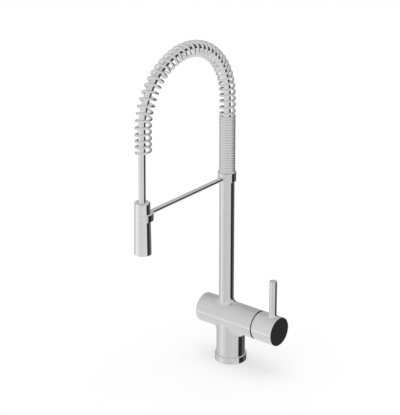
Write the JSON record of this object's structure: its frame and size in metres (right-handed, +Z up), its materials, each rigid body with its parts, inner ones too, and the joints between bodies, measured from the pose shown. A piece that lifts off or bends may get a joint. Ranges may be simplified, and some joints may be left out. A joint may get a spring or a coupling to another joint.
{
  "type": "kitchen mixer tap with spring spout",
  "caption": "Single-lever kitchen mixer with a T-shaped body, tall riser, coil spring arching over a hose, and a spray head held by a clip on a thin swivelling arm.",
  "frame": {"origin": "centre of the underside of the base, on the worktop, at the mouth of the fixing hole", "axes": "+Z up along the column, -Y forward to the spray head, +X to the side that carries the lever"},
  "size_m": [0.15, 0.2401, 0.5534],
  "materials": {
    "chrome": "polished",
    "spring_chrome": "polished",
    "brass": "turned",
    "steel": "plain or nickel-plated",
    "hose": "smooth, grey",
    "rubber": "matte",
    "ceramic": "ground flat",
    "cartridge_plastic": "moulded",
    "bearing_plastic": "smooth, black",
    "aerator_plastic": "moulded"
  },
  "bodies": {
    "mixer": {"base_gasket": "rubber", "base_ring": "chrome", "mixer_body": "chrome", "cartridge_base": "cartridge_plastic", "cartridge_seals": "rubber", "fixed_disc": "ceramic", "cartridge_housing": "cartridge_plastic", "stem_seal": "rubber", "cartridge_nut": "steel", "riser_foot": "brass", "riser_seals": "rubber", "riser_tube": "chrome", "riser_head": "steel", "slip_washer": "bearing_plastic", "snap_ring": "steel", "gland_nut": "steel"},
    "handle": {"moving_disc": "ceramic", "cartridge_stem": "brass", "handle_knob": "chrome", "handle_lever": "chrome", "handle_screw": "steel"},
    "spout": {"swivel_bush": "bearing_plastic", "swivel_collar": "chrome", "holder_arm": "chrome", "head_clip": "chrome", "hose_nipple": "steel", "nipple_seals": "rubber", "hose_ferrule": "steel", "spray_hose": "hose", "hose_drop": "hose", "guide_spring": "spring_chrome"},
    "spray_head": {"head_collar": "chrome", "hose_cone": "steel", "head_washer": "rubber", "head_body": "chrome", "check_valve": "cartridge_plastic", "aerator_ring": "steel", "aerator_screen": "aerator_plastic"}
  },
  "joints": [
    {"name": "handle_turn", "type": "hinge", "parent": "mixer", "child": "handle", "pos_m": [0.0834, 0, 0.0755], "axis": [1, 0, 0], "range_deg": [0, 100]},
    {"name": "spout_swivel", "type": "hinge", "parent": "mixer", "child": "spout", "pos_m": [-0.0096, 0, 0.3127], "axis": [0, 0, 1], "continuous": true},
    {"name": "head_pull", "type": "slide", "parent": "spout", "child": "spray_head", "axis": [0, 0, -1], "range_m": [0, 0.08], "stiffness_N_per_m": 60, "springref_m": -0.08, "deforming": ["hose_drop"]}
  ]
}
